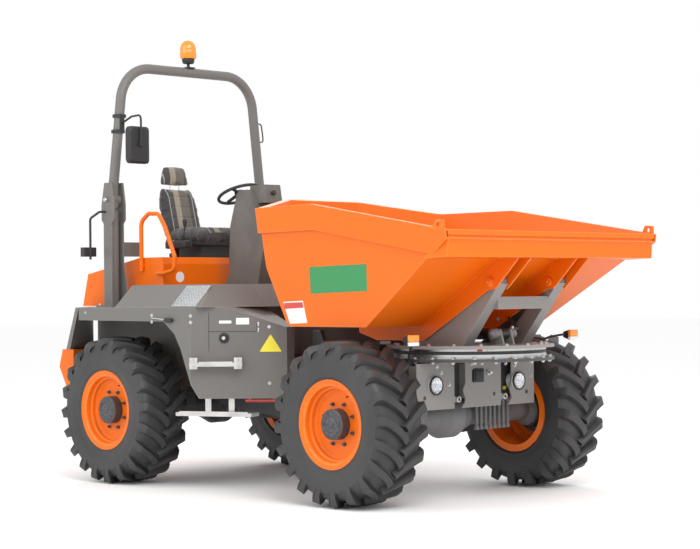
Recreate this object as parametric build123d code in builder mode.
from build123d import *
import os
from math import cos, radians, sin

# Swivel site dumper: an articulated carrier with the driver behind, and a skip on a
# slewing turntable in front. Millimetres. +X is forward, +Y is the driver's left, +Z is up.
# It is drawn from a datum on the ground, and write() moves each piece so that the origin is
# under the middle of the whole machine.

SIDES = {"right": -1, "left": 1}
PAIR = (-1, 1)

# ---------------------------------------------------------------- driving dimensions
WHEELBASE = 2392
TRACK = 1788
AXLES_MIDDLE = -70  # X of the middle between the axles, from the datum
MACHINE_MIDDLE = -46  # X of the middle of the whole length, from the datum
REAR_X = AXLES_MIDDLE - WHEELBASE / 2
FRONT_X = AXLES_MIDDLE + WHEELBASE / 2
RUN = 0.4  # running clearance of a pin or shaft in its bore, on the radius
SEAT_GAP = 0.3  # gap where a curved face lies on another piece

# wheels
TYRE_R = 537.5
TYRE_WIDTH = 405
BEAD_R = 254
CARCASS_SIDES = 20
LUGS = 20  # bars in each of the tread's two rows
LUG_PITCH = 360 / LUGS
LUG_ROOT_R = TYRE_R - 115
LUG_REACH = 115  # half the length of a bar round the tyre
LUG_TOP_R = TYRE_R - 9  # a bar's crown is flat, so its ends stand further out than its middle
RIM_HALF = 165  # half the width between the rim's flanges
FLANGE_R = 290
FLANGE_T = 11
DISC_W = 78  # wheel disc's inner face, outboard of the wheel's middle plane
DISC_T = 12
HUB_R = 100
HUB_OUT = 165
HUB_IN = -20
HUB_FLANGE_R = 165
HUB_FLANGE_T = 20
SPINDLE_R = 60
CARCASS = ((152, TYRE_R - 46),
           (TYRE_WIDTH / 2 - 2, TYRE_R - 137))  # distance from the middle plane and radius
LUG_PLAN = ((5, -98), (206, 47), (206, 101),
            (-26, -62))  # distance from the middle plane, height above the middle
LUG_SECTION = (  # radius and distance from the middle plane
    (LUG_ROOT_R + 3, -40), (LUG_TOP_R, -40), (LUG_TOP_R, 184), (TYRE_R - 40, TYRE_WIDTH / 2),
    (TYRE_R - 112, TYRE_WIDTH / 2 - 20),
)
AXLE_Z = TYRE_R
AXLE_TUBE_R = 72
DIFF_R = 150

# joints of the chassis
PIVOT_X = AXLES_MIDDLE + 120
KINGPIN_R = 35
KINGPIN_BOSS_R = 70
PIVOT_LOW, PIVOT_HIGH = 503, 857
EAR_T = 30
EAR_R = 80
OSC_Z = 680
OSC_PIN_R = 60
OSC_BOSS_R = 100
OSC_BOSS_FRONT = PIVOT_X + 120
TOWER_X = AXLES_MIDDLE + 306  # rear face of the front frame's tower plate

# turntable and skip
SLEW_X = FRONT_X + 251
TABLE_R = 560
TABLE_TOP = 1030
TABLE_T = 20
RING_R = 505
RING_BORE_R = 420
BASE_TOP = 945
BASE_T = 20
RING_GAP = 0.4
TIP_X = SLEW_X + 503
TIP_Z = 1440
TIP_PIN_R = 20
ARM_EYE_R = 42
ARM_IN, ARM_OUT = 245, 335  # the carrier's arms lie between these, each side
RIB_T = 12
RIB_GAP = 8
SKIP_WALL = 8
BAND_PROUD = 22
BAND_DEEP = 170
BAND_WALL = 8
SKIP_FLOOR = 1157
LIP_X = SLEW_X + 761
LIP_Z = 1759

# tipping cylinder
TIP_BASE_X = SLEW_X + 285
TIP_BASE_Z = 1100
TIP_ROD_X = SLEW_X - 345
TIP_ROD_Z = 1092
BARREL_R = 38
ROD_R = 22
EYE_R = 34

# rear body
HOOD_HALF = 600
HOOD_REAR_TOP = (-2158, 1536)
HOOD_REAR_LOW = (-2226, 1290)
HOOD_SPLIT_X = -1640
HOOD_WALL = 6
PEDESTAL_FRONT = -1160
PEDESTAL_TOP = 1660
BODY_OUT = 1070
BODY_IN = 550
BODY_TOP = 1290
SKIRT_LOW = 1195
BODY_LOW = 655
DECK_Z = 1450
DECK_T = 8
ROPS_X = -1578
ROPS_HINGE_Z = 2100
ROPS_TUBE_R = 38
ROPS_TOP_Z = 3122
BEACON_TOP = 3380
BEACON_FOOT, BEACON_LENS = BEACON_TOP - 155, BEACON_TOP - 118  # undersides of its base and of its lens

# steering cylinder
STEER_BASE = (-330, -250, 590)
STEER_EYE = (PIVOT_X + 60, -190, 590)
STEER_EYE_HALF = 34


# ---------------------------------------------------------------- helpers
def plate_xz(points, low, high, mode=Mode.ADD):
    """A plate with its outline in X and Z, between two values of Y."""
    with BuildSketch(Plane.XZ.offset(-high)) as outline:
        with BuildLine():
            Polyline(*points, close=True)
        make_face()
    extrude(outline.sketch, amount=high - low, mode=mode)


def plate_yz(points, low, high, mode=Mode.ADD):
    """A plate with its outline in Y and Z, between two values of X."""
    with BuildSketch(Plane.YZ.offset(low)) as outline:
        with BuildLine():
            Polyline(*points, close=True)
        make_face()
    extrude(outline.sketch, amount=high - low, mode=mode)


def plate_xy(points, low, high, mode=Mode.ADD):
    """A plate with its outline in X and Y, between two values of Z."""
    with BuildSketch(Plane.XY.offset(low)) as outline:
        with BuildLine():
            Polyline(*points, close=True)
        make_face()
    extrude(outline.sketch, amount=high - low, mode=mode)


def block(x, y, z, mode=Mode.ADD):
    """A box from its ranges in X, Y and Z."""
    with BuildSketch(Plane.XY.offset(z[0])) as outline:
        with Locations(((x[0] + x[1]) / 2, (y[0] + y[1]) / 2)):
            Rectangle(x[1] - x[0], y[1] - y[0])
    extrude(outline.sketch, amount=z[1] - z[0], mode=mode)


def bar(start, end, radius, mode=Mode.ADD):
    """A round bar between two points."""
    along = Vector(*end) - Vector(*start)
    with BuildSketch(Plane(origin=start, z_dir=along)) as section:
        Circle(radius)
    extrude(section.sketch, amount=along.length, mode=mode)


def ring(start, end, radius, bore, mode=Mode.ADD):
    """A round bar with a bore, between two points."""
    along = Vector(*end) - Vector(*start)
    with BuildSketch(Plane(origin=start, z_dir=along)) as section:
        Circle(radius)
        Circle(bore, mode=Mode.SUBTRACT)
    extrude(section.sketch, amount=along.length, mode=mode)


def bent_tube(points, radii, radius, bore=0, mode=Mode.ADD):
    """A round tube along straight runs joined by tangent arcs."""
    with BuildLine() as route:
        FilletPolyline(*points, radius=radii)
    with BuildSketch(Plane(origin=route.line @ 0, z_dir=route.line % 0)) as section:
        Circle(radius)
        if bore:
            Circle(bore, mode=Mode.SUBTRACT)
    sweep(section.sketch, path=route.line, mode=mode)


def both(side, low, high):
    """A range of distance from the middle plane, on the side given by the sign."""
    return (side * low, side * high) if side > 0 else (side * high, side * low)


def write(piece, name):
    """Move a finished piece to the machine's origin, label it and write its STEP."""
    placed = Location((-MACHINE_MIDDLE, 0, 0)) * piece
    placed.label = name
    export_step(placed, f"parts/{name}.step")


os.makedirs("parts", exist_ok=True)

# ---------------------------------------------------------------- wheels
# Each wheel piece is made about the Y axis at the origin, with its outside towards +Y.
def faceted(rows, mode=Mode.ADD):
    """A many-sided body about the Y axis through rows of distance along Y and radius."""
    sections = []
    for out, radius in rows:
        with BuildSketch(Plane(origin=(0, out, 0), x_dir=(1, 0, 0), z_dir=(0, 1, 0))) as section:
            RegularPolygon(radius, CARCASS_SIDES)
        sections.append(section.sketch)
    loft(sections, ruled=True, mode=mode)


with BuildPart() as carcass:
    faceted([(-out, radius) for out, radius in CARCASS[::-1]] + list(CARCASS))
    bore = BEAD_R / cos(radians(180 / CARCASS_SIDES))
    faceted([(-TYRE_WIDTH, bore), (TYRE_WIDTH, bore)], mode=Mode.SUBTRACT)
    # the side walls fall back towards the rim's flanges
    for side in PAIR:
        faceted([(side * RIM_HALF, FLANGE_R + 5), (side * CARCASS[-1][0], CARCASS[-1][1] - 6)],
                mode=Mode.SUBTRACT)
        faceted([(side * CARCASS[-1][0], CARCASS[-1][1] - 6), (side * TYRE_WIDTH, CARCASS[-1][1] - 6)],
                mode=Mode.SUBTRACT)
# one bar of the tread, at the front of the wheel: its plan on the crown, then its section
with BuildPart() as lug:
    plate_yz(LUG_PLAN, LUG_ROOT_R, TYRE_R + 10)
    plate_xy(LUG_SECTION, -LUG_REACH, LUG_REACH, mode=Mode.INTERSECT)
lug_other = mirror(lug.part, about=Plane.XZ)
lugs = [Rot(0, -step * LUG_PITCH, 0) * lug.part for step in range(LUGS)]
lugs += [Rot(0, -(step + 0.5) * LUG_PITCH, 0) * lug_other for step in range(LUGS)]
tyre = carcass.part + lugs

with BuildPart() as rim:
    with BuildSketch(Plane.YZ):
        with BuildLine():
            Polyline(
                (DISC_W + DISC_T, HUB_R + 1), (DISC_W + DISC_T, 211), (98, 222), (122, 228), (128, 240),
                (146, 243), (160, 246), (RIM_HALF + 6, 262), (RIM_HALF + FLANGE_T, 280),
                     (RIM_HALF + FLANGE_T, FLANGE_R),
                (RIM_HALF, FLANGE_R), (RIM_HALF, BEAD_R), (-RIM_HALF, BEAD_R), (-RIM_HALF, FLANGE_R),
                (-RIM_HALF - FLANGE_T, FLANGE_R), (-RIM_HALF - FLANGE_T, 243), (48, 243), (66, 216),
                (DISC_W, 206), (DISC_W, HUB_R + 1), close=True,
            )
        make_face()
    revolve(axis=Axis.Y)

with BuildPart() as hub:
    with BuildSketch(Plane.YZ):
        with BuildLine():
            Polyline(
                (HUB_OUT, 0), (HUB_OUT, 84), (HUB_OUT - 8, HUB_R), (DISC_W, HUB_R), (DISC_W, HUB_FLANGE_R),
                (DISC_W - HUB_FLANGE_T, HUB_FLANGE_R), (DISC_W - HUB_FLANGE_T, 130), (HUB_IN, 118),
                (HUB_IN, SPINDLE_R + RUN), (DISC_W - 8, SPINDLE_R + RUN), (DISC_W - 8, 0), close=True,
            )
        make_face()
    revolve(axis=Axis.Y)

for end, wheel_x in (("front", FRONT_X), ("rear", REAR_X)):
    for side_name, side in SIDES.items():
        place = Location((wheel_x, side * TRACK / 2, AXLE_Z))
        for kind, piece in (("tyre", tyre), ("rim", rim.part), ("hub", hub.part)):
            turned = piece if side > 0 else mirror(piece, about=Plane.XZ)
            write(place * turned, f"{kind}_{end}_{side_name}")

# ---------------------------------------------------------------- axles
SPINDLE_END = TRACK / 2 + DISC_W - 8 - RUN
AXLE_FLANGE_Y = TRACK / 2 + HUB_IN - RUN


def axle(wheel_x, pinion_way, pad_top, pad_y):
    """A rigid axle: casing with its differential, end flanges, spindles and frame pads."""
    with BuildPart() as casing:
        with BuildSketch(Plane.YZ.offset(wheel_x)):
            with BuildLine():
                Polyline(
                    (0, AXLE_Z), (0, AXLE_Z + DIFF_R), (60, AXLE_Z + DIFF_R), (150, AXLE_Z + 105),
                    (260, AXLE_Z + AXLE_TUBE_R), (AXLE_FLANGE_Y - 60, AXLE_Z + AXLE_TUBE_R),
                    (AXLE_FLANGE_Y - 25, AXLE_Z + 112), (AXLE_FLANGE_Y, AXLE_Z + 112),
                    (AXLE_FLANGE_Y, AXLE_Z + SPINDLE_R), (SPINDLE_END, AXLE_Z + SPINDLE_R),
                    (SPINDLE_END, AXLE_Z), close=True,
                )
            make_face()
        revolve(axis=Axis((wheel_x, 0, AXLE_Z), (0, 1, 0)))
        mirror(about=Plane.XZ)
        bar((wheel_x, 0, AXLE_Z), (wheel_x + pinion_way * 250, 0, AXLE_Z), 75)
        bar((wheel_x + pinion_way * 250, 0, AXLE_Z), (wheel_x + pinion_way * 285, 0, AXLE_Z), 45)
        for side in PAIR:
            block((wheel_x - 90, wheel_x + 90), both(side, pad_y - 45, pad_y + 45), (AXLE_Z, pad_top))
    return casing.part


FRAME_LOW = 640
write(axle(REAR_X, 1, FRAME_LOW, 330), "rear_axle")
STUDS = 8
STUD_FIRST_Y, STUD_PITCH = 205, 46
STUD_X = FRONT_X + 115
with BuildPart() as front_axle:
    add(axle(FRONT_X, -1, FRAME_LOW, 300))
    # clamp studs of the left half, hung from a plate
    block((FRONT_X, STUD_X + 22), (STUD_FIRST_Y - 25, STUD_FIRST_Y + STUD_PITCH * (STUDS - 1) + 25),
          (FRAME_LOW - 14, FRAME_LOW))
    for index in range(STUDS):
        y = STUD_FIRST_Y + index * STUD_PITCH
        bar((STUD_X, y, 450), (STUD_X, y, FRAME_LOW - 13), 12)
        bar((STUD_X, y, 436), (STUD_X, y, 456), 17)
write(front_axle.part, "front_axle")

# ---------------------------------------------------------------- rear frame
REAR_FRAME_Y = 330
REAR_FRAME_FRONT = -60
FRAME_PLATE_T = 16
FRAME_TOP = 950
FRAME_REAR = -1960

TRANSFER_TOP = 640
with BuildPart() as rear_frame:
    # cross plate that carries the transfer box
    block((REAR_X + 650, REAR_X + 810), (-REAR_FRAME_Y + 1, REAR_FRAME_Y - 1),
          (TRANSFER_TOP, TRANSFER_TOP + 16))
    for side in PAIR:
        side_plate = [
            (FRAME_REAR, FRAME_LOW + 60), (REAR_X - 300, FRAME_LOW), (REAR_X + 300, FRAME_LOW),
            (REAR_X + 420, 560), (REAR_FRAME_FRONT, 480), (REAR_FRAME_FRONT, FRAME_TOP),
                      (FRAME_REAR, FRAME_TOP),
        ]
        plate_xz(side_plate, *both(side, REAR_FRAME_Y - FRAME_PLATE_T, REAR_FRAME_Y))
    block((REAR_FRAME_FRONT - 20, REAR_FRAME_FRONT), (-REAR_FRAME_Y, REAR_FRAME_Y), (470, FRAME_TOP))
    block((FRAME_REAR, FRAME_REAR + 20), (-REAR_FRAME_Y, REAR_FRAME_Y), (FRAME_LOW + 60, FRAME_TOP))
    block((REAR_FRAME_FRONT - 21, REAR_FRAME_FRONT + 1), (-300, -110), (530, 650), mode=Mode.SUBTRACT)
    for low in (PIVOT_LOW - RUN - EAR_T, PIVOT_HIGH + RUN):
        with BuildSketch(Plane.XY.offset(low)):
            with Locations((PIVOT_X, 0)):
                Circle(EAR_R)
            with BuildLine():
                Polyline((PIVOT_X, -EAR_R), (PIVOT_X, EAR_R), (REAR_FRAME_FRONT - 1, 190),
                         (REAR_FRAME_FRONT - 1, -190),
                         close=True)
            make_face()
            with Locations((PIVOT_X, 0)):
                Circle(KINGPIN_R + RUN, mode=Mode.SUBTRACT)
        extrude(amount=EAR_T)
    # outriggers that carry the side bodies
    for side in PAIR:
        for x in (-520, -120):
            block((x - 40, x + 40), both(side, REAR_FRAME_Y, BODY_IN), (700, 780))
    # anchor of the steering cylinder, with its pin
    for low in (STEER_BASE[2] - STEER_EYE_HALF - 2 - 16, STEER_BASE[2] + STEER_EYE_HALF + 2):
        plate_xy([(STEER_BASE[0] - 45, -REAR_FRAME_Y + 1), (STEER_BASE[0] - 30, STEER_BASE[1] + 40),
                  (STEER_BASE[0] + 30, STEER_BASE[1] + 40), (STEER_BASE[0] + 45, -REAR_FRAME_Y + 1)], low,
                 low + 16)
    bar((STEER_BASE[0], STEER_BASE[1], STEER_BASE[2] - 60),
        (STEER_BASE[0], STEER_BASE[1], STEER_BASE[2] + 60), TIP_PIN_R)
write(rear_frame.part, "rear_frame")

# pivot block: kingpin upright, boss of the oscillation pin in front of it
with BuildPart() as pivot_block:
    bar((PIVOT_X, 0, PIVOT_LOW), (PIVOT_X, 0, PIVOT_HIGH), KINGPIN_BOSS_R)
    bar((PIVOT_X, 0, PIVOT_LOW - EAR_T - 12), (PIVOT_X, 0, PIVOT_HIGH + EAR_T + 12), KINGPIN_R)
    bar((PIVOT_X, 0, OSC_Z), (OSC_BOSS_FRONT, 0, OSC_Z), OSC_BOSS_R)
    bar((PIVOT_X + 5, 0, OSC_Z), (OSC_BOSS_FRONT, 0, OSC_Z), OSC_PIN_R + RUN, mode=Mode.SUBTRACT)
    # steering lug
    plate_xy([(PIVOT_X - 30, -40), (PIVOT_X + 40, -40), (PIVOT_X + 90, -190), (PIVOT_X + 60, -225),
              (PIVOT_X + 30, -200)],
             STEER_EYE[2] - 44, STEER_EYE[2] - 26)
    plate_xy([(PIVOT_X - 30, -40), (PIVOT_X + 40, -40), (PIVOT_X + 90, -190), (PIVOT_X + 60, -225),
              (PIVOT_X + 30, -200)],
             STEER_EYE[2] + 26, STEER_EYE[2] + 44)
write(pivot_block.part, "pivot_block")

# ---------------------------------------------------------------- steering cylinder
def cylinder_barrel(base, eye, barrel_r, rod_r, length, bore_start, eye_r, eye_half, axis):
    """A barrel with its base eye, pinned at base and pointing to eye."""
    along = (Vector(*eye) - Vector(*base)).normalized()
    base_v = Vector(*base)
    with BuildPart() as barrel:
        bar(tuple(base_v - axis * eye_half), tuple(base_v + axis * eye_half), eye_r)
        bar(tuple(base_v + along * (eye_r - 8)), tuple(base_v + along * length), barrel_r)
        bar(tuple(base_v + along * (length - 1)), tuple(base_v + along * (length + 18)), barrel_r - 4)
        bar(tuple(base_v + along * bore_start), tuple(base_v + along * (length + 19)), rod_r + RUN,
            mode=Mode.SUBTRACT)
        bar(tuple(base_v - axis * (eye_half + 1)), tuple(base_v + axis * (eye_half + 1)), TIP_PIN_R + RUN,
            mode=Mode.SUBTRACT)
    return barrel.part


def cylinder_rod(base, eye, rod_r, inside, eye_r, eye_half, axis):
    """A rod from inside its barrel to its eye, with the eye's pin in it."""
    along = (Vector(*eye) - Vector(*base)).normalized()
    start = Vector(*base) + along * inside
    eye_v = Vector(*eye)
    with BuildPart() as rod:
        bar(tuple(start), tuple(eye_v), rod_r)
        bar(tuple(eye_v - axis * eye_half), tuple(eye_v + axis * eye_half), eye_r)
    return rod.part


UP = Vector(0, 0, 1)
ACROSS = Vector(0, 1, 0)
STEER_LENGTH = 260
write(cylinder_barrel(STEER_BASE, STEER_EYE, 32, 16, STEER_LENGTH, 60, 34, STEER_EYE_HALF, UP),
      "steering_cylinder_barrel")
write(cylinder_rod(STEER_BASE, STEER_EYE, 16, 158, 30, 24, UP), "steering_cylinder_rod")

# ---------------------------------------------------------------- front frame
PANEL_HALF = 584
FRONT_FRAME_Y = 300
PANEL_X = FRONT_X + 309  # front face of the lamp panel
PANEL_T = 10
PANEL_BACK = PANEL_X - 70
TOWER_T = 20
TOWER_Y = 380
TOWER_TOP = 1120

with BuildPart() as front_frame:
    for side in PAIR:
        side_plate = [
            (TOWER_X, 560), (FRONT_X - 330, 580), (FRONT_X - 230, FRAME_LOW), (FRONT_X + 200, FRAME_LOW),
            (PANEL_BACK - 20, 660), (PANEL_BACK - 20, BASE_TOP - BASE_T), (TOWER_X, BASE_TOP - BASE_T),
        ]
        plate_xz(side_plate, *both(side, FRONT_FRAME_Y - FRAME_PLATE_T, FRONT_FRAME_Y))
    # turntable base plate: round under the ring, straight back to the tower
    with BuildSketch(Plane.XY.offset(BASE_TOP - BASE_T)):
        with Locations((SLEW_X, 0)):
            Circle(TABLE_R)
        with Locations(((SLEW_X + TOWER_X) / 2, 0)):
            Rectangle(SLEW_X - TOWER_X, 2 * TOWER_Y)
        with Locations((SLEW_X, 0)):
            Circle(RING_BORE_R - 60, mode=Mode.SUBTRACT)
    extrude(amount=BASE_T)
    plate_yz([(-FRONT_FRAME_Y, 520), (FRONT_FRAME_Y, 520), (TOWER_Y, 800), (TOWER_Y, TOWER_TOP),
              (TOWER_Y - 90, TOWER_TOP),
              (TOWER_Y - 130, BASE_TOP), (-TOWER_Y + 130, BASE_TOP), (-TOWER_Y + 90, TOWER_TOP),
              (-TOWER_Y, TOWER_TOP),
              (-TOWER_Y, 800)], TOWER_X, TOWER_X + TOWER_T)
    for side in PAIR:
        plate_xz([(TOWER_X + TOWER_T - 1, BASE_TOP - 1), (TOWER_X + 160, BASE_TOP - 1),
                  (TOWER_X + 70, TOWER_TOP),
                  (TOWER_X + TOWER_T - 1, TOWER_TOP)], *both(side, TOWER_Y - FRAME_PLATE_T, TOWER_Y))
    # front cross plate behind the lamp panel
    block((PANEL_BACK - 20, PANEL_BACK), (-PANEL_HALF, PANEL_HALF), (660, BASE_TOP - BASE_T))
    # oscillation pin and its collar
    bar((TOWER_X + 5, 0, OSC_Z), (PIVOT_X + KINGPIN_BOSS_R + 6, 0, OSC_Z), OSC_PIN_R)
    bar((TOWER_X + 5, 0, OSC_Z), (OSC_BOSS_FRONT + 2, 0, OSC_Z), OSC_BOSS_R)
write(front_frame.part, "front_frame")

with BuildPart() as slew_ring:
    ring((SLEW_X, 0, BASE_TOP), (SLEW_X, 0, TABLE_TOP - TABLE_T - RING_GAP), RING_R, RING_BORE_R)
write(slew_ring.part, "slew_ring")

# lamp panel: three plates with two shaped gaps between them, on returns to the cross plate
PANEL_LOW, PANEL_HIGH = 610, 915
GAP_LEFTS = (-225, 240)
GAP_TOP, GAP_LOW = 110, 70
HOOK_Z = 667
LAMP_Y, LAMP_Z, LAMP_R = 412, 768, 59
PANEL_RETURNS = (-580, -240, -100, 222, 500, 570)
PANEL_EDGES = ((-PANEL_HALF, GAP_LEFTS[0]), (GAP_LEFTS[0] + GAP_TOP, GAP_LEFTS[1]),
               (GAP_LEFTS[1] + GAP_TOP, PANEL_HALF))
with BuildPart() as front_panel:
    for index, (low, high) in enumerate(PANEL_EDGES):
        with BuildSketch(Plane.YZ.offset(PANEL_X - PANEL_T)):
            with Locations(((low + high) / 2, (PANEL_LOW + PANEL_HIGH) / 2)):
                Rectangle(high - low, PANEL_HIGH - PANEL_LOW)
            if index:
                # the left edge waves out round the tie-down hook behind it
                with BuildLine():
                    Polyline((low + 1, HOOK_Z + 110), (low, HOOK_Z + 110), (low - 22, HOOK_Z + 68))
                    ThreePointArc((low - 22, HOOK_Z + 68), (low - 16, HOOK_Z + 42), (low - 8, HOOK_Z + 22))
                    ThreePointArc((low - 8, HOOK_Z + 22), (low - 2, HOOK_Z - 10), (low - 22, HOOK_Z - 34))
                    Polyline((low - 22, HOOK_Z - 34), (low - GAP_TOP + GAP_LOW, PANEL_LOW),
                             (low + 1, PANEL_LOW), (low + 1, HOOK_Z + 110))
                make_face()
        extrude(amount=PANEL_T)
        if index:
            # hook's eye in the gap, on a web from the return beside it
            block((PANEL_X - 34, PANEL_X - 22), (low - GAP_TOP - 12, low - 25), (HOOK_Z - 18, HOOK_Z + 18))
            bar((PANEL_X - 35, low - 45, HOOK_Z), (PANEL_X - 21, low - 45, HOOK_Z), 11, mode=Mode.SUBTRACT)
    for y in PANEL_RETURNS:
        block((PANEL_BACK, PANEL_X - PANEL_T + 1), (y, y + 8), (670, BASE_TOP - BASE_T - 25))
    for side in PAIR:
        bar((PANEL_X - PANEL_T - 1, side * LAMP_Y, LAMP_Z), (PANEL_X + 1, side * LAMP_Y, LAMP_Z), LAMP_R,
            mode=Mode.SUBTRACT)
    block((PANEL_X - PANEL_T - 1, PANEL_X + 1), (-50, 68), (780, 860), mode=Mode.SUBTRACT)
write(front_panel.part, "front_panel")

with BuildPart() as headlamps:
    for side in PAIR:
        centre_x = PANEL_X - 55
        bar((centre_x, side * LAMP_Y, LAMP_Z), (PANEL_X + 2, side * LAMP_Y, LAMP_Z), LAMP_R - 1)
        bar((PANEL_X, side * LAMP_Y, LAMP_Z), (PANEL_X + 8, side * LAMP_Y, LAMP_Z), LAMP_R + 4)
        bar((PANEL_BACK, side * LAMP_Y, LAMP_Z), (centre_x + 1, side * LAMP_Y, LAMP_Z), 30)
write(headlamps.part, "headlamps")

# direction lamps on bent rods at the front corners
LAMP_BACK, LAMP_LENS = PANEL_X + 110, PANEL_X + 165
LAMP_OUT, LAMP_UP = 795, 1076
with BuildPart() as front_lamps:
    for side in PAIR:
        foot_x = PANEL_BACK - 10
        block((foot_x - 10, foot_x + 10), both(side, 562, PANEL_HALF),
              (BASE_TOP - BASE_T, BASE_TOP - BASE_T + 8))
        bent_tube([(foot_x, side * 573, BASE_TOP - BASE_T + 7), (foot_x + 10, side * 578, 985),
                   (PANEL_X + 60, side * 680, 1060),
                   (LAMP_BACK + 25, side * 720, LAMP_UP),
                   (LAMP_BACK + 25, side * (LAMP_OUT - 30), LAMP_UP)], [30, 50, 20], 8)
        # tapered back, then the lens
        with BuildSketch(Plane.YZ.offset(LAMP_BACK)) as back:
            with Locations((side * LAMP_OUT, LAMP_UP)):
                RectangleRounded(46, 42, 8)
        with BuildSketch(Plane.YZ.offset(LAMP_LENS)) as front:
            with Locations((side * LAMP_OUT, LAMP_UP)):
                RectangleRounded(82, 64, 8)
        loft([back.sketch, front.sketch], ruled=True)
        extrude(front.sketch, amount=22)
write(front_lamps.part, "front_lamps")

# valve block and hoses' manifold on the right of the front frame
with BuildPart() as valve_block:
    block((FRONT_X - 60, FRONT_X + 140), (-430, -FRONT_FRAME_Y), (820, 905))
write(valve_block.part, "valve_block")

# propeller shaft from the rear axle's nose to the transfer box under the frame's cross plate
TRANSFER_REAR, TRANSFER_FRONT = REAR_X + 640, REAR_X + 820
with BuildPart() as propshaft:
    bar((REAR_X + 285, 0, AXLE_Z), (REAR_X + 315, 0, AXLE_Z), 60)
    bar((REAR_X + 315, 0, AXLE_Z), (TRANSFER_REAR + 1, 0, AXLE_Z), 35)
    block((TRANSFER_REAR, TRANSFER_FRONT), (-110, 110), (AXLE_Z - 80, TRANSFER_TOP))
    bar((TRANSFER_FRONT - 1, 0, AXLE_Z), (TRANSFER_FRONT + 40, 0, AXLE_Z), 60)
write(propshaft.part, "propshaft")

# ---------------------------------------------------------------- turntable with its arms
with BuildPart() as turntable:
    with BuildSketch(Plane.XY.offset(TABLE_TOP - TABLE_T)):
        with Locations((SLEW_X, 0)):
            Circle(TABLE_R)
            Circle(150, mode=Mode.SUBTRACT)
    extrude(amount=TABLE_T)
    for side in PAIR:
        # outer web of the arm
        web = [(SLEW_X - 200, TABLE_TOP - 1), (SLEW_X + 240, TABLE_TOP - 1), (TIP_X + 50, TIP_Z - 10),
               (TIP_X, TIP_Z + 20),
               (TIP_X - 30, TIP_Z + 5)]
        plate_xz(web, *both(side, ARM_OUT - 12, ARM_OUT))
        web_in = [(SLEW_X + 60, TABLE_TOP - 1), (SLEW_X + 240, TABLE_TOP - 1), (TIP_X + 50, TIP_Z - 10),
                  (TIP_X, TIP_Z + 20),
                  (TIP_X - 30, TIP_Z + 5)]
        plate_xz(web_in, *both(side, ARM_IN, ARM_IN + 12))
        # front flange
        flange = [(SLEW_X + 240, TABLE_TOP - 1), (SLEW_X + 226, TABLE_TOP - 1), (TIP_X + 36, TIP_Z - 10),
                  (TIP_X + 50, TIP_Z - 10)]
        plate_xz(flange, *both(side, ARM_IN, ARM_OUT))
        bar((TIP_X, side * ARM_IN, TIP_Z), (TIP_X, side * ARM_OUT, TIP_Z), ARM_EYE_R)
        bar((TIP_X, side * (ARM_IN - 1), TIP_Z), (TIP_X, side * (ARM_OUT + 1), TIP_Z), TIP_PIN_R + RUN,
            mode=Mode.SUBTRACT)
    # cross member between the arms
    block((TIP_X - 80, TIP_X - 30), (-ARM_IN - 5, ARM_IN + 5), (1265, 1345))
    # rest pads for the skip's beams
    for side in PAIR:
        block((SLEW_X - 520, SLEW_X - 420), both(side, ARM_IN - 10, ARM_OUT), (TABLE_TOP, 1052))
    # base lugs and pin of the tipping cylinder
    for side in PAIR:
        plate_xz([(TIP_BASE_X - 60, TABLE_TOP - 1), (TIP_BASE_X + 60, TABLE_TOP - 1),
                  (TIP_BASE_X + 30, TIP_BASE_Z + 30),
                  (TIP_BASE_X - 30, TIP_BASE_Z + 30)], *both(side, 42, 58))
    bar((TIP_BASE_X, -75, TIP_BASE_Z), (TIP_BASE_X, 75, TIP_BASE_Z), TIP_PIN_R)
write(turntable.part, "turntable")

TIP_LENGTH = 560
TIP_BASE = (TIP_BASE_X, 0, TIP_BASE_Z)
TIP_EYE = (TIP_ROD_X, 0, TIP_ROD_Z)
write(cylinder_barrel(TIP_BASE, TIP_EYE, BARREL_R, ROD_R, TIP_LENGTH - 12, 56, EYE_R, 40, ACROSS),
      "tip_cylinder_barrel")
write(cylinder_rod(TIP_BASE, TIP_EYE, ROD_R, 62, EYE_R - 6, 36, ACROSS), "tip_cylinder_rod")

# ---------------------------------------------------------------- skip
# The hopper's walls are planes, each through three points of its outside, mirrored left and right.
FLOOR_REAR = SLEW_X - 887
REAR_KINK = (SLEW_X - 1372, 1553)
RAMP_FOOT = SLEW_X - 112
RAMP_SLOPE = 33.2
CORNER_LOW = (SLEW_X - 887, 870, SKIP_FLOOR)
CORNER_KINK = (SLEW_X - 1047, 900, 1553)
CORNER_TOP = (SLEW_X - 1082, 931, 2000)
CENTRE_TOP = (SLEW_X - 1405, 310, 2000)
CENTRE_KINK = (SLEW_X - 1372, 300, 1553)
KNEE_TOP = (SLEW_X - 478, 990, 1964)
LIP_TOP = (LIP_X, 1034, LIP_Z)
RAMP_CORNER = (RAMP_FOOT, 870, SKIP_FLOOR)


def wall_plane(a, b, c, inside):
    """The plane through three points, with its normal pointing away from the inside point."""
    a, b, c = Vector(*a), Vector(*b), Vector(*c)
    normal = (b - a).cross(c - a).normalized()
    if normal.dot(Vector(*inside) - a) > 0:
        normal = -normal
    return Plane(origin=a, x_dir=(b - a).normalized(), z_dir=normal)


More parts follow.
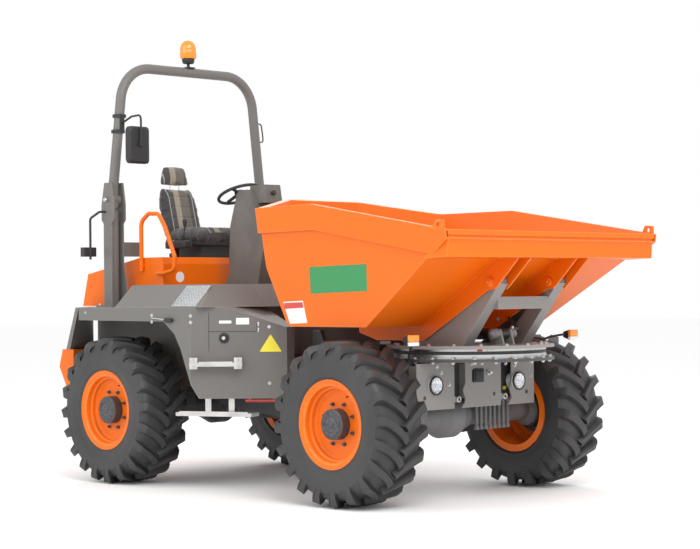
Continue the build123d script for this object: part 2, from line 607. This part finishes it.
MIDDLE = (SLEW_X - 300, 0, 1600)
RAMP_END = (RAMP_FOOT + 1000 * cos(radians(RAMP_SLOPE)), 0, SKIP_FLOOR + 1000 * sin(radians(RAMP_SLOPE)))
HOPPER_PLANES = [
    wall_plane((0, 0, SKIP_FLOOR), (1, 0, SKIP_FLOOR), (0, 1, SKIP_FLOOR), MIDDLE),
    wall_plane((RAMP_FOOT, 0, SKIP_FLOOR), (RAMP_FOOT, 100, SKIP_FLOOR), RAMP_END, MIDDLE),
    wall_plane((FLOOR_REAR, 0, SKIP_FLOOR), (FLOOR_REAR, 100, SKIP_FLOOR), (REAR_KINK[0], 0, REAR_KINK[1]),
               MIDDLE),
    wall_plane((REAR_KINK[0], 0, REAR_KINK[1]), (REAR_KINK[0], 100, REAR_KINK[1]),
               (CENTRE_TOP[0], 0, CENTRE_TOP[2]), MIDDLE),
]
for side in PAIR:
    def on(point, side=side):
        return (point[0], side * point[1], point[2])
    HOPPER_PLANES.append(wall_plane(on(CENTRE_KINK), on(CORNER_KINK), on(CORNER_TOP), MIDDLE))
    HOPPER_PLANES.append(wall_plane(on(CENTRE_KINK), on(CORNER_KINK), on(CORNER_LOW), MIDDLE))
    HOPPER_PLANES.append(wall_plane(on(CORNER_TOP), on(KNEE_TOP), on(CORNER_LOW), MIDDLE))
    HOPPER_PLANES.append(wall_plane(on(KNEE_TOP), on(LIP_TOP), on(RAMP_CORNER), MIDDLE))

RIM_LINE = [(SLEW_X - 1429, 2053), (SLEW_X - 1106, 1960), (SLEW_X - 478, 1964), (LIP_X, LIP_Z)]


def hopper(grow, low_line, high_line):
    """The hopper's outside moved out by grow, between two lines drawn in the side view."""
    with BuildPart() as solid:
        outline = [*low_line, *reversed(high_line)]
        plate_xz(outline, -1300, 1300)
        for plane in HOPPER_PLANES:
            split(bisect_by=plane.offset(grow), keep=Keep.BOTTOM)
    return solid.part


def lowered(line, drop):
    return [(x, z - drop) for x, z in line]


FAR_BELOW = [(SLEW_X - 2000, 900), (LIP_X, 900)]
top_line = [(SLEW_X - 2000, 2053 + 164), *RIM_LINE]
outside = hopper(0, FAR_BELOW, top_line)
inside = hopper(-SKIP_WALL, FAR_BELOW, [(SLEW_X - 2000, 2400), (LIP_X - SKIP_WALL, 2400)])
band_outside = hopper(BAND_PROUD, [(SLEW_X - 2000, 2053 + 164 - BAND_DEEP), *lowered(RIM_LINE, BAND_DEEP)],
                      top_line)
band_inside = hopper(BAND_PROUD - BAND_WALL, [(SLEW_X - 2000, 2053 + 164 - BAND_DEEP - 1),
                                              *lowered(RIM_LINE, BAND_DEEP + 1)],
                     [(SLEW_X - 2000, 2053 + 164 - 8), *lowered(RIM_LINE, 8)])

BEAM_REAR = SLEW_X - 700
BEAM_LOW = 1058
with BuildPart() as skip:
    add(outside)
    # rolled rim, open below
    add(band_outside)
    add(band_inside, mode=Mode.SUBTRACT)
    add(outside)
    add(inside, mode=Mode.SUBTRACT)
    # box section under the lip
    lip_foot = LIP_X - 210
    plate_xz([(LIP_X - 8, LIP_Z - 25), (LIP_X - 16, 1594), (lip_foot, 1588), (lip_foot, 1588 + 6)], -1020,
             1020)
    for side in PAIR:
        for low, high in ((ARM_IN - RIB_GAP - RIB_T, ARM_IN - RIB_GAP),
                          (ARM_OUT + RIB_GAP, ARM_OUT + RIB_GAP + RIB_T)):
            beam = [
                (BEAM_REAR, SKIP_FLOOR + 2), (BEAM_REAR, BEAM_LOW + 50), (BEAM_REAR + 170, BEAM_LOW),
                    (RAMP_FOOT + 20, BEAM_LOW), (TIP_X - 20, TIP_Z - 48),
                (TIP_X + 30, TIP_Z - 45), (TIP_X + 60, TIP_Z - 20), (LIP_X - 30, 1585), (LIP_X - 30, 1600),
                (lip_foot, 1592), (RAMP_FOOT, SKIP_FLOOR + 2),
            ]
            plate_xz(beam, *both(side, low, high))
            bar((TIP_X, side * low, TIP_Z), (TIP_X, side * high, TIP_Z), 45)
        # bottom plate that closes each beam behind the arm
        block((BEAM_REAR + 170, SLEW_X - 330), both(side, ARM_IN - RIB_GAP - 1, ARM_OUT + RIB_GAP + 1),
              (BEAM_LOW, BEAM_LOW + 10))
        bar((TIP_X, side * (ARM_IN - RIB_GAP - RIB_T - 8), TIP_Z),
            (TIP_X, side * (ARM_OUT + RIB_GAP + RIB_T + 14), TIP_Z), TIP_PIN_R)
        bar((TIP_X, side * (ARM_OUT + RIB_GAP + RIB_T - 1), TIP_Z),
            (TIP_X, side * (ARM_OUT + RIB_GAP + RIB_T + 14), TIP_Z), 30)
        # lifting eyes at the lip's ends
        plate_xz([(LIP_X - 110, LIP_Z + 5), (LIP_X - 20, LIP_Z - 8), (LIP_X - 20, LIP_Z + 55),
                  (LIP_X - 80, LIP_Z + 60)],
                 *both(side, 1036, 1056))
        bar((LIP_X - 58, side * 1035, LIP_Z + 28), (LIP_X - 58, side * 1057, LIP_Z + 28), 16,
            mode=Mode.SUBTRACT)
        # lugs for the rod's eye
        plate_xz([(TIP_ROD_X - 50, SKIP_FLOOR + 2), (TIP_ROD_X - 26, TIP_ROD_Z - 30),
                  (TIP_ROD_X + 26, TIP_ROD_Z - 30),
                  (TIP_ROD_X + 50, SKIP_FLOOR + 2)], *both(side, 38, 52))
write(skip.part, "skip")

# ---------------------------------------------------------------- rear body
with BuildPart() as engine:
    block((-1930, -1330), (-REAR_FRAME_Y + FRAME_PLATE_T + 20, REAR_FRAME_Y - FRAME_PLATE_T - 20),
          (760, 1380))
    for side in PAIR:
        for x in (-1850, -1430):
            block((x - 40, x + 40), both(side, REAR_FRAME_Y - FRAME_PLATE_T - 21,
                                         REAR_FRAME_Y - FRAME_PLATE_T), (800, 860))
write(engine.part, "engine")

CW_HALF = 850
CW_TOP = 965
with BuildPart() as counterweight:
    plate_xz([(-2100, CW_TOP), (-2144, 830), (-2034, 645), (FRAME_REAR, 645), (FRAME_REAR, CW_TOP)],
             -CW_HALF, CW_HALF)
    # towing jaw
    block((-2170, -2090), (-60, 60), (740, 860))
    for z in (750, 826):
        block((-2230, -2169), (-45, 45), (z, z + 24))
    bar((-2200, 0, 740), (-2200, 0, 860), 16, mode=Mode.SUBTRACT)
write(counterweight.part, "counterweight")

# side bodies: tank in front of the wheel, mudguard over it, quarter panel behind it
BEND_X = -270
END_X = 230
BODY_TOP_END_X = -85
END_Y = 620
TAPER = Vector(END_X - BEND_X, END_Y - BODY_OUT).normalized()
TAPER_OUT = Vector(-TAPER.Y, TAPER.X)


def beside(along, out, side=1):
    """A point in plan, along the tapered panel from its bend and out from it."""
    point = Vector(BEND_X, BODY_OUT) + TAPER * along + TAPER_OUT * out
    return (point.X, side * point.Y)


ARCH = [(-570, 1190), (-450, 1105), (-380, 1000), (-228, BODY_LOW)]
for side_name, side in SIDES.items():
    with BuildPart() as side_body:
        plate_xz([(-1580, BODY_TOP), (-1580, SKIRT_LOW), ARCH[0], ARCH[1], ARCH[2], ARCH[3],
                  (END_X, BODY_LOW), (END_X, 1148),
                  (BODY_TOP_END_X, BODY_TOP)], *both(side, BODY_IN, BODY_OUT))
        # plan taper towards the front
        plate_xy([beside(0, 0, side), beside(700, 0, side), beside(700, 500, side), beside(0, 500, side)],
                 BODY_LOW - 10, BODY_TOP + 10, mode=Mode.SUBTRACT)
        # hollow of the mudguard, open below
        plate_xz([(-1590, 1282), (-1590, 1100), (-590, 1100), (-560, 1200), (-640, 1282)],
                 *both(side, BODY_IN - 1, BODY_OUT - 8), mode=Mode.SUBTRACT)
        # inner wall of the arch and quarter panel behind the wheel
        plate_xz([(-2040, BODY_TOP - 2), (-560, BODY_TOP - 2), (-560, 1180), (-430, 1105), (-350, 950),
                  (-350, 700),
                  (FRAME_REAR + 1, 700), (FRAME_REAR + 1, CW_TOP), (-2040, CW_TOP)],
                 *both(side, BODY_IN, BODY_IN + 8))
        plate_xy([(-1580, side * (BODY_OUT)), (-1580, side * BODY_IN), (-2040, side * BODY_IN),
                  (-2040, side * 640)],
                 BODY_TOP - 8, BODY_TOP)
        quarter_top = [(-1580, side * BODY_OUT), (-1620, side * BODY_OUT), (-2085, side * 620),
                       (-2040, side * 600)]
        quarter_low = [(-1990, side * 860), (-2038, side * 860), (-2085, side * 620), (-2040, side * 600)]
        with BuildSketch(Plane.XY.offset(BODY_TOP)) as top_section:
            with BuildLine():
                Polyline(*quarter_top, close=True)
            make_face()
        with BuildSketch(Plane.XY.offset(CW_TOP)) as low_section:
            with BuildLine():
                Polyline(*quarter_low, close=True)
            make_face()
        loft([low_section.sketch, top_section.sketch], ruled=True)
    write(side_body.part, f"side_body_{side_name}")

# engine hood and seat pedestal: one form, parted behind the seat
HOOD_SLOPE = (PEDESTAL_TOP - HOOD_REAR_TOP[1]) / (-1440 - HOOD_REAR_TOP[0])
HOOD_SPLIT_Z = PEDESTAL_TOP - HOOD_SLOPE * (-1440 - HOOD_SPLIT_X)
HOOD_LOW = BODY_TOP + 5
HINGE_X = HOOD_SPLIT_X + 2.5
HINGE_Z = HOOD_SPLIT_Z + 13
HINGE_R = 11
HINGE_PIN_R = 6
HINGES_Y = (-420, 420)
SLOTS, SLOT_FIRST, SLOT_PITCH, SLOT_HIGH, SLOT_HALF = 6, 32, 24, 12, 260
with BuildPart() as seat_pedestal:
    plate_xz([(HOOD_SPLIT_X + 5, BODY_TOP), (PEDESTAL_FRONT, BODY_TOP), (PEDESTAL_FRONT, PEDESTAL_TOP - 50),
              (PEDESTAL_FRONT - 20, PEDESTAL_TOP), (-1440, PEDESTAL_TOP), (HOOD_SPLIT_X + 5, HOOD_SPLIT_Z)],
             -HOOD_HALF, HOOD_HALF)
    plate_xz([(HOOD_SPLIT_X, BODY_TOP - 1), (PEDESTAL_FRONT - 8, BODY_TOP - 1),
              (PEDESTAL_FRONT - 8, PEDESTAL_TOP - 54),
              (PEDESTAL_FRONT - 26, PEDESTAL_TOP - 8), (-1440, PEDESTAL_TOP - 8),
              (HOOD_SPLIT_X, HOOD_SPLIT_Z - 8)],
             -HOOD_HALF + 8, HOOD_HALF - 8, mode=Mode.SUBTRACT)
    for y in HINGES_Y:
        for knuckle in (y - 40, y + 22):
            block((HINGE_X, HINGE_X + 40), (knuckle, knuckle + 18), (HOOD_SPLIT_Z - 4, HINGE_Z + 5))
            bar((HINGE_X, knuckle, HINGE_Z), (HINGE_X, knuckle + 18, HINGE_Z), HINGE_R)
        bar((HINGE_X, y - 40, HINGE_Z), (HINGE_X, y + 40, HINGE_Z), HINGE_PIN_R)
write(seat_pedestal.part, "seat_pedestal")

with BuildPart() as engine_hood:
    plate_xz([(HOOD_SPLIT_X, HOOD_LOW), (HOOD_SPLIT_X, HOOD_SPLIT_Z), HOOD_REAR_TOP,
              (HOOD_REAR_LOW[0], HOOD_LOW)],
             -HOOD_HALF + 4, HOOD_HALF - 4)
    chamfer(engine_hood.edges().filter_by(lambda e: e.center().X < -2100 and abs(e.center().Y) > 500), 45)
    offset(amount=-HOOD_WALL, openings=engine_hood.faces().filter_by(
        lambda f: f.center().Z < HOOD_LOW + 1 or f.center().X > HOOD_SPLIT_X - 1))
    # air slots of the cooler in the rear wall
    for index in range(SLOTS):
        low = HOOD_LOW + SLOT_FIRST + index * SLOT_PITCH
        block((HOOD_REAR_LOW[0] - 10, HOOD_REAR_TOP[0] + 40), (-SLOT_HALF, SLOT_HALF), (low, low + SLOT_HIGH),
              mode=Mode.SUBTRACT)
    for y in HINGES_Y:
        block((HINGE_X - 40, HINGE_X - 4), (y - 20, y + 20), (HOOD_SPLIT_Z - 10, HINGE_Z + 5))
        bar((HINGE_X, y - 20, HINGE_Z), (HINGE_X, y + 20, HINGE_Z), HINGE_R)
        block((HINGE_X - 8, HINGE_X), (y - 20, y + 20), (HINGE_Z - 8, HINGE_Z + 5))
        bar((HINGE_X, y - 21, HINGE_Z), (HINGE_X, y + 21, HINGE_Z), HINGE_PIN_R + RUN, mode=Mode.SUBTRACT)
write(engine_hood.part, "engine_hood")

# deck: level floor with sloped sides and front
DECK_FRONT = -210
with BuildPart() as deck:
    with BuildSketch(Plane.XY.offset(BODY_TOP)) as low_section:
        with BuildLine():
            Polyline((PEDESTAL_FRONT, -1050), (-170, -1050), (0, -600), (0, 600), (-170, 1050),
                     (PEDESTAL_FRONT, 1050),
                     close=True)
        make_face()
    with BuildSketch(Plane.XY.offset(DECK_Z)) as high_section:
        with BuildLine():
            Polyline((PEDESTAL_FRONT, -890), (DECK_FRONT - 60, -890), (DECK_FRONT, -560), (DECK_FRONT, 560),
                     (DECK_FRONT - 60, 890), (PEDESTAL_FRONT, 890), close=True)
        make_face()
    loft([low_section.sketch, high_section.sketch], ruled=True)
    offset(amount=-DECK_T, openings=deck.faces().sort_by(Axis.Z)[0])
write(deck.part, "deck")

with BuildPart() as firewall:
    block((-100, -82), (-BODY_IN + 1, BODY_IN - 1), (FRAME_TOP, BODY_TOP - 1))
write(firewall.part, "firewall")

# console with its instrument box and the steering column
WHEEL_CENTRE = Vector(-975, 0, 2140)
WHEEL_AXIS = Vector(-0.39, 0, 0.921)
WHEEL_R, WHEEL_TUBE_R, WHEEL_HUB = 165, 12, 45
CONSOLE_HALF = 100
BOX_REAR, BOX_FRONT, BOX_LOW, BOX_TOP = -807, -630, 2060, 2196
BOX_Y = (-38, 106)
with BuildPart() as console:
    with BuildSketch(Plane.XZ.offset(-CONSOLE_HALF)) as outline:
        with BuildLine():
            Polyline((-660, DECK_Z), (-1045, DECK_Z), (-1045, DECK_Z + 20), (-1000, DECK_Z + 75),
                     (-1004, 1634), (-988, 1895),
                     (-965, 1967), (-924, 2088), (-867, 2162), (-770, 2162))
            ThreePointArc((-770, 2162), (-668, 1960), (-600, 1700))
            Polyline((-600, 1700), (-660, DECK_Z))
        make_face()
    extrude(amount=2 * CONSOLE_HALF)
    chamfer(console.edges().filter_by(lambda e: abs(abs(e.center().Y) - CONSOLE_HALF) < 1 and e.center().X < -900), 16)
    with BuildSketch(Plane.XY.offset(BOX_LOW)) as box_low:
        with Locations(((BOX_REAR + BOX_FRONT + 14) / 2, sum(BOX_Y) / 2)):
            Rectangle(BOX_FRONT + 14 - BOX_REAR, BOX_Y[1] - BOX_Y[0] + 20)
    with BuildSketch(Plane.XY.offset(BOX_TOP)) as box_top:
        with Locations(((BOX_REAR + BOX_FRONT) / 2, sum(BOX_Y) / 2)):
            Rectangle(BOX_FRONT - BOX_REAR, BOX_Y[1] - BOX_Y[0])
    loft([box_low.sketch, box_top.sketch], ruled=True)
    bar(tuple(WHEEL_CENTRE - WHEEL_AXIS * 130), tuple(WHEEL_CENTRE - WHEEL_AXIS * (WHEEL_HUB + SEAT_GAP)), 24)
write(console.part, "console")

with BuildPart() as steering_wheel:
    rim_plane = Plane(origin=WHEEL_CENTRE, x_dir=(0, 1, 0), z_dir=WHEEL_AXIS)
    with BuildSketch(Plane(origin=WHEEL_CENTRE + Vector(0, WHEEL_R, 0),
                           z_dir=WHEEL_AXIS.cross(Vector(0, 1, 0)))):
        Circle(WHEEL_TUBE_R)
    revolve(axis=Axis(WHEEL_CENTRE, WHEEL_AXIS))
    bar(tuple(WHEEL_CENTRE - WHEEL_AXIS * WHEEL_HUB), tuple(WHEEL_CENTRE + WHEEL_AXIS * 12), 32)
    for angle in (90, 210, 330):
        reach = WHEEL_R - 4
        tip = rim_plane.from_local_coords(Vector(reach * cos(radians(angle)), reach * sin(radians(angle)), 0))
        bar(tuple(WHEEL_CENTRE), tuple(tip), 9)
write(steering_wheel.part, "steering_wheel")

# seat
with BuildPart() as seat_suspension:
    block((-1600, -1230), (-190, 190), (PEDESTAL_TOP, 1700))
    block((-1560, -1260), (-150, 150), (1699, 1760))
    block((-1610, -1220), (-210, 210), (1759, 1785))
    for side in PAIR:
        block((-1690, -1640), both(side, 120, 150), (1770, 1812 - SEAT_GAP))
        block((-1690, -1600), both(side, 120, 150), (1765, 1785))
write(seat_suspension.part, "seat_suspension")
with BuildPart() as seat_cushion:
    block((-1610, -1160), (-235, 235), (1785 + SEAT_GAP, 1890))
    fillet(seat_cushion.edges().filter_by(Axis.Z), 50)
    fillet(seat_cushion.faces().sort_by(Axis.Z)[-1].edges(), 25)
write(seat_cushion.part, "seat_cushion")
# backrest: wide at the lumbar, drawn in towards the shoulders, with the headrest on top
BACK_ROWS = ((1812, 190), (1900, 205), (2050, 205), (2170, 180), (2235, 150))  # height and half width
BACK_REAR, BACK_FRONT = (-1706, -1806), (-1611, -1725)  # X at the lowest and the highest row
HEAD_ROWS = ((2236, 150), (2262, 146), (2392, 108))
with BuildPart() as seat_backrest:
    for rows, rear, front in ((BACK_ROWS, BACK_REAR, BACK_FRONT),
                              (HEAD_ROWS, (-1812, -1822), (-1722, -1752))):
        sections = []
        for height, half in rows:
            share = (height - rows[0][0]) / (rows[-1][0] - rows[0][0])
            back = rear[0] + (rear[1] - rear[0]) * share
            fore = front[0] + (front[1] - front[0]) * share
            with BuildSketch(Plane.XY.offset(height)) as section:
                with Locations(((back + fore) / 2, 0)):
                    RectangleRounded(fore - back, 2 * half, 28)
            sections.append(section.sketch)
        loft(sections, ruled=True)
    block((-1790, -1735), (-60, 60), (2200, 2260))
write(seat_backrest.part, "seat_backrest")

# handrails, one each side of the seat
with BuildPart() as handrails:
    for side in PAIR:
        y = side * (HOOD_HALF + 17)
        bent_tube([(-1400, y, 1560), (-1400, y, 1930), (-1310, y, 1990), (-1190, y, 1985), (-1110, y, 1880),
                   (-1000, y, 1660),
                   (-1010, y, 1560), (-1130, y, 1540), (PEDESTAL_FRONT - 45, y, 1540)],
                  [70, 60, 60, 90, 40, 40, 60], 16)
        bar((-1400, side * HOOD_HALF, 1600), (-1400, y, 1600), 14)
        bar((PEDESTAL_FRONT - 40, side * HOOD_HALF, 1540), (PEDESTAL_FRONT - 40, y, 1540), 14)
write(handrails.part, "handrails")

# roll bar: fixed posts, each an open channel with a tube standing in it, and a folding hoop
POST_OUT = 800
CHEEK = ((-50, BODY_TOP), (50, BODY_TOP), (50, 1920), (76, 1950), (76, 2070), (48, 2230), (-40, 2230),
         (-76, 2060),
         (-76, 1950), (-50, 1920))  # a hinge cheek, as distances from ROPS_X and heights
with BuildPart() as rops_posts:
    for side in PAIR:
        block((ROPS_X - 95, ROPS_X + 95), both(side, 640, 840), (BODY_TOP, BODY_TOP + 14))
        for low, high in ((682, 694), (786, 798)):
            plate_xz([(ROPS_X + along, height) for along, height in CHEEK], *both(side, low, high))
        plate_xz([(ROPS_X + 49, BODY_TOP + 13), (ROPS_X + 115, BODY_TOP + 13), (ROPS_X + 49, 1640)],
                 *both(side, 682, 694))
        bar((ROPS_X, side * 670, ROPS_HINGE_Z), (ROPS_X, side * 812, ROPS_HINGE_Z), 12)
        # web that closes the channel behind, and the tube that stands in it
        block((ROPS_X - 50, ROPS_X - 40), both(side, 693, 787), (BODY_TOP + 13, 1980))
        bar((ROPS_X, side * 740, BODY_TOP + 13), (ROPS_X, side * 740, ROPS_HINGE_Z - 82), ROPS_TUBE_R)
        # bracket towards the hood
        block((ROPS_X - 28, ROPS_X + 32), both(side, 510, 683), (PEDESTAL_TOP + 12, PEDESTAL_TOP + 120))
write(rops_posts.part, "rops_posts")


HOOP_CORNER_Y, HOOP_BEND_R = 636, 280


def hoop_tube(radius):
    """The folding hoop's bent tube, with the given radius."""
    half = [(ROPS_X, 740, ROPS_HINGE_Z - 60), (ROPS_X, 740, ROPS_HINGE_Z + 100),
            (ROPS_X, HOOP_CORNER_Y, ROPS_TOP_Z)]
    points = [(x, -y, z) for x, y, z in half] + half[::-1]
    bent_tube(points, [300, HOOP_BEND_R, HOOP_BEND_R, 300], radius)


def leg_y(height):
    """How far the hoop's leg stands from the middle at a height."""
    foot = ROPS_HINGE_Z + 100
    return 740 - (740 - HOOP_CORNER_Y) * (height - foot) / (ROPS_TOP_Z - foot)


with BuildPart() as rops_hoop:
    hoop_tube(ROPS_TUBE_R)
    for side in PAIR:
        bar((ROPS_X, side * 700, ROPS_HINGE_Z), (ROPS_X, side * 780, ROPS_HINGE_Z), 42)
        bar((ROPS_X, side * 660, ROPS_HINGE_Z), (ROPS_X, side * 820, ROPS_HINGE_Z), 12 + RUN,
            mode=Mode.SUBTRACT)
write(rops_hoop.part, "rops_hoop")

with BuildPart() as beacon:
    bar((ROPS_X, 0, ROPS_TOP_Z + ROPS_TUBE_R - 2), (ROPS_X, 0, BEACON_FOOT), 12)
    bar((ROPS_X, 0, BEACON_FOOT), (ROPS_X, 0, BEACON_LENS + 1), 50)
    # egg-shaped lens
    with BuildSketch(Plane.XZ.offset(0)):
        with BuildLine():
            Polyline((ROPS_X, BEACON_TOP), (ROPS_X, BEACON_LENS), (ROPS_X + 60, BEACON_LENS))
            ThreePointArc((ROPS_X + 60, BEACON_LENS), (ROPS_X + 66, BEACON_LENS + 60),
                          (ROPS_X + 48, BEACON_TOP - 28))
            Polyline((ROPS_X + 48, BEACON_TOP - 28), (ROPS_X + 26, BEACON_TOP - 8), (ROPS_X, BEACON_TOP))
        make_face()
    revolve(axis=Axis((ROPS_X, 0, 0), (0, 0, 1)))
    block((ROPS_X - 40, ROPS_X + 40), (-40, 40), (ROPS_TOP_Z + ROPS_TUBE_R - 8,
                                                  ROPS_TOP_Z + ROPS_TUBE_R + 10))
    bar((ROPS_X, -60, ROPS_TOP_Z), (ROPS_X, 60, ROPS_TOP_Z), ROPS_TUBE_R + SEAT_GAP, mode=Mode.SUBTRACT)
write(beacon.part, "beacon")

# one mirror on the right leg: two clamp bands on a strip, a bent arm and a shell
MIRROR_BANDS, BAND_HALF = (2740, 2622), 12
MIRROR_X, MIRROR_Y = ROPS_X + 300, 716
MIRROR_LOW, MIRROR_TOP, MIRROR_HALF, MIRROR_T = 2362, 2640, 98, 46
with BuildPart() as hoop_room:
    hoop_tube(ROPS_TUBE_R + SEAT_GAP)
with BuildPart() as mirrors:
    for height in MIRROR_BANDS:
        bar((ROPS_X, -leg_y(height), height - BAND_HALF), (ROPS_X, -leg_y(height), height + BAND_HALF),
            ROPS_TUBE_R + 14)
    middle = leg_y(2680)
    block((ROPS_X + ROPS_TUBE_R, ROPS_X + ROPS_TUBE_R + 12), (-middle - 18, -middle + 18),
          (MIRROR_BANDS[1] - BAND_HALF, MIRROR_BANDS[0] + BAND_HALF))
    arm_x = MIRROR_X + 14
    bent_tube([(ROPS_X + ROPS_TUBE_R + 11, -middle, 2685), (ROPS_X + 160, -middle, 2725),
               (arm_x, -MIRROR_Y, 2725),
               (arm_x, -MIRROR_Y, 2520)], [40, 40], 8)
    sections = []
    for depth, shrink in ((MIRROR_X - MIRROR_T, 0), (MIRROR_X - 14, 0), (MIRROR_X, 16)):
        with BuildSketch(Plane.YZ.offset(depth)) as section:
            with Locations((-MIRROR_Y, (MIRROR_LOW + MIRROR_TOP) / 2)):
                RectangleRounded(2 * (MIRROR_HALF - shrink), MIRROR_TOP - MIRROR_LOW - 2 * shrink, 30)
        sections.append(section.sketch)
    loft(sections, ruled=True)
    block((MIRROR_X - 6, arm_x + 4), (-MIRROR_Y - 16, -MIRROR_Y + 16), (2490, 2530))
    add(hoop_room.part, mode=Mode.SUBTRACT)
write(mirrors.part, "mirrors")

# treads on the tapered front of the side bodies, and steps hung below them
TREAD_LENGTH, TREAD_DEPTH, TREAD_Z, STEP_T = 370, 70, 880, 25
STEP_Z = 530
STEP_REAR, STEP_FRONT = (-439, 1070), (90, 830)  # ends of the step's outer edge
STEP_ALONG = (Vector(*STEP_FRONT) - Vector(*STEP_REAR)).normalized()
STEP_LENGTH = (Vector(*STEP_FRONT) - Vector(*STEP_REAR)).length
STEP_DEPTH = 130
STRAPS = ((228, 6), (395, 32))  # along the step's edge and in from it
STRAP_WIDTH, STRAP_T = 44, 8


def on_step(along, inward, side=1):
    """A point in plan, along the step's outer edge and in from it."""
    point = Vector(*STEP_REAR) + STEP_ALONG * along + Vector(STEP_ALONG.Y, -STEP_ALONG.X) * inward
    return (point.X, side * point.Y)


def in_plan(where, first, second, side):
    """The four corners of a strip given by two ranges, through a placing function."""
    return [where(first[a], second[b], side) for a, b in ((0, 0), (1, 0), (1, 1), (0, 1))]


with BuildPart() as side_steps:
    for side in PAIR:
        plate_xy(in_plan(beside, (0, TREAD_LENGTH), (0, TREAD_DEPTH), side), TREAD_Z, TREAD_Z + STEP_T)
        plate_xy(in_plan(on_step, (0, STEP_LENGTH), (0, STEP_DEPTH), side), STEP_Z, STEP_Z + STEP_T)
        for along, inward in STRAPS:
            plate_xy(in_plan(on_step, (along, along + STRAP_WIDTH), (inward, inward + STRAP_T), side),
                     STEP_Z + STEP_T - 1, BODY_LOW)
write(side_steps.part, "side_steps")

with BuildPart() as articulation_lock:
    bar((*beside(380, -20, -1), BODY_LOW - 16), (*beside(600, -20, -1), BODY_LOW - 16), 12)
    for along in (400, 570):
        plate_xy([beside(along, -10, -1), beside(along + 20, -10, -1), beside(along + 20, -30, -1),
                  beside(along, -30, -1)],
                 BODY_LOW - 20, BODY_LOW)
write(articulation_lock.part, "articulation_lock")

with BuildPart() as rear_lamps:
    rod_x, rod_y = ROPS_X - 95, 890
    for side in PAIR:
        bent_tube([(ROPS_X - 30, side * (POST_OUT - 2), 2010), (ROPS_X - 30, side * 850, 2010),
                   (rod_x, side * rod_y, 1960), (rod_x, side * rod_y, 1650)], [22, 30], 9)
        block((rod_x - 50, rod_x), both(side, rod_y - 55, rod_y + 55), (1672, 1742))
write(rear_lamps.part, "rear_lamps")
